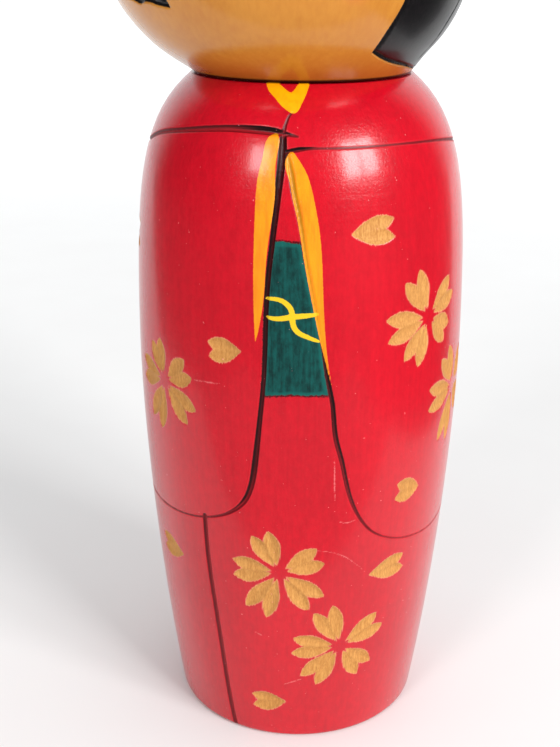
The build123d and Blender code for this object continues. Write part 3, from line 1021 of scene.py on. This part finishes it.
def dowel_finish():
    """Bare turned wood."""
    f = Finish("bare_wood")
    wood, tone = wood_colour(f)
    rough = f.spread(tone, 0.2, 0.9, 0.52, 0.7)
    return f.finish(Base_Color=wood, Roughness=rough, Normal=f.bump(tone, 0.05))


def floor_finish():
    """Pale paper with a faint light of its own, which grows away from the doll."""
    f = Finish("pale_floor")
    tone = f.noise((0.02, 0.02, 0.02), detail=2)
    colour = f.mix(tone, paint(234, 232, 231), paint(238, 237, 236))
    away = f.node("ShaderNodeVectorMath", (f.place,), operation="LENGTH").outputs["Value"]
    glow = f.times(f.spread(away, 0.1, 1.3, 0.0, 0.42), f.spread(away, 3.4, 7.5, 1.0, 0.3))
    shine = (0.95, 0.98, 1.0, 1.0)
    return f.finish(Base_Color=colour, Roughness=0.7, Emission_Color=shine, Emission_Strength=glow)


# ---- the pieces

body = make_body()
body.data.materials.append(body_finish())
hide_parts("body")
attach(body, "body")

head = make_head()
head.data.materials.append(head_finish())
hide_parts("head")
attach(head, "head")

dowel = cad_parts["neck_dowel"]
wood = dowel_finish()
for place in dowel.material_slots:
    place.material = wood

# ---- floor, light and camera

# metres, degrees, and radiance where 1 is white
FLOOR_HALF = 8.0
AIM_HEIGHT = 0.13
LIGHT_DISTANCE = 2.5
# soft lights: azimuth, elevation, width, height and radiance
SOFT_LIGHTS = {
    "key_light_left": (38, 25.5, 0.5, 0.84, 20.5),
    "key_light_right": (52.5, 25.5, 0.48, 0.84, 19.5),
    "second_light": (-31.5, 26, 0.56, 0.6, 15),
}
CAMERA_LENS = 56.51
CAMERA_PLACE = (0.0, -0.24884, 0.17196)
CAMERA_PITCH, CAMERA_YAW, CAMERA_ROLL = 20.70, -1.0, 0.19
# grey cards: corners, lift above the floor, and tone from 0 to 255
CARDS = {
    "near_card": ([(-1.5, -0.3), (1.5, -0.3), (1.5, -0.085), (-1.5, -0.085)], 0.0006, 150),
    "far_card": ([(-8, -8), (8, -8), (8, -0.24), (-8, -0.24)], 0.0012, 40),
    "right_card": ([(0.17, -0.25), (8, -0.25), (8, 6.7), (0.17, 0.11)], 0.0009, 40),
    "left_card": ([(-0.3, 0.11), (-8, 6.7), (-8, -0.25), (-0.17, -0.25)], 0.0009, 80),
}
EVEN_LIGHT, ROOM_LIGHT, BACKDROP_LIGHT = 0.78, 0.02, 1.1
BACKDROP_EDGE = (0.4, 0.85)
BACKDROP_RISE = 0.25
LIGHT_SLANT = 0.35


def flat_sheet(name, corners, lift, material):
    """A flat level sheet of the stage."""
    mesh = bpy.data.meshes.new(name)
    mesh.from_pydata([(x, y, lift) for x, y in corners], [], [(0, 1, 2, 3)])
    mesh.materials.append(material)
    sheet = bpy.data.objects.new(name, mesh)
    bpy.context.scene.collection.objects.link(sheet)
    return sheet


def make_floor():
    """A wide pale floor under the doll."""
    half = FLOOR_HALF
    corners = [(-half, -half), (half, -half), (half, half), (-half, half)]
    floor = flat_sheet("floor", corners, 0, floor_finish())
    floor.location.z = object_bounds()[0][2]


def soft_light(name, azimuth, elevation, width, height, radiance):
    """A soft box that faces the doll."""
    light = bpy.data.lights.new(name, "AREA")
    light.shape = "RECTANGLE"
    light.size, light.size_y = width, height
    light.energy = radiance * pi * width * height
    holder = bpy.data.objects.new(name, light)
    turn, lift = radians(azimuth), radians(elevation)
    away = Vector((sin(turn) * cos(lift), -cos(turn) * cos(lift), sin(lift)))
    holder.location = Vector((0, 0, AIM_HEIGHT)) + away * LIGHT_DISTANCE
    holder.rotation_euler = away.to_track_quat("Z", "Y").to_euler()
    holder.visible_camera = False
    bpy.context.scene.collection.objects.link(holder)


def make_world():
    """A white a little brighter at the right, which in reflections is only behind the doll."""
    world = bpy.data.worlds.new("studio")
    bpy.context.scene.world = world
    work = NodeWork(world, "Background", "Generated")
    x, y, z = work.node("ShaderNodeSeparateXYZ", (work.place,)).outputs
    slanted = work.math("MULTIPLY_ADD", x, EVEN_LIGHT * LIGHT_SLANT, EVEN_LIGHT)
    behind = work.math("MULTIPLY_ADD", z, BACKDROP_RISE, y)
    reflected = work.spread(behind, *BACKDROP_EDGE, ROOM_LIGHT, BACKDROP_LIGHT)
    in_reflection = work.node("ShaderNodeLightPath").outputs["Is Glossy Ray"]
    strength = work.blend(in_reflection, slanted, reflected)
    work.finish(Color=(0.96, 0.985, 1.0, 1.0), Strength=strength)


def make_card(name, corners, lift, tone):
    """A grey card on the floor, seen only by reflections, which it keeps deep."""
    paper = Finish(name).finish(Base_Color=paint(tone, tone, tone), Roughness=0.9)
    card = flat_sheet(name, corners, lift, paper)
    card.visible_camera = card.visible_diffuse = card.visible_shadow = False
    card.visible_transmission = card.visible_volume_scatter = False


def make_camera():
    """The camera, looking down a little at the doll's middle."""
    data = bpy.data.cameras.new("camera")
    data.lens, data.sensor_width = CAMERA_LENS, 36.0
    data.clip_start, data.clip_end = 0.01, 100.0
    camera = bpy.data.objects.new("camera", data)
    turned = Matrix.Rotation(-radians(CAMERA_YAW), 4, "Z")
    turned @= Matrix.Rotation(radians(90 - CAMERA_PITCH), 4, "X")
    turned @= Matrix.Rotation(radians(CAMERA_ROLL), 4, "Z")
    camera.matrix_world = Matrix.Translation(CAMERA_PLACE) @ turned
    bpy.context.scene.collection.objects.link(camera)
    bpy.context.scene.camera = camera


make_floor()
make_world()
for name, card in CARDS.items():
    make_card(name, *card)
for name, light in SOFT_LIGHTS.items():
    soft_light(name, *light)
make_camera()
bpy.context.scene.view_settings.view_transform = "Standard"
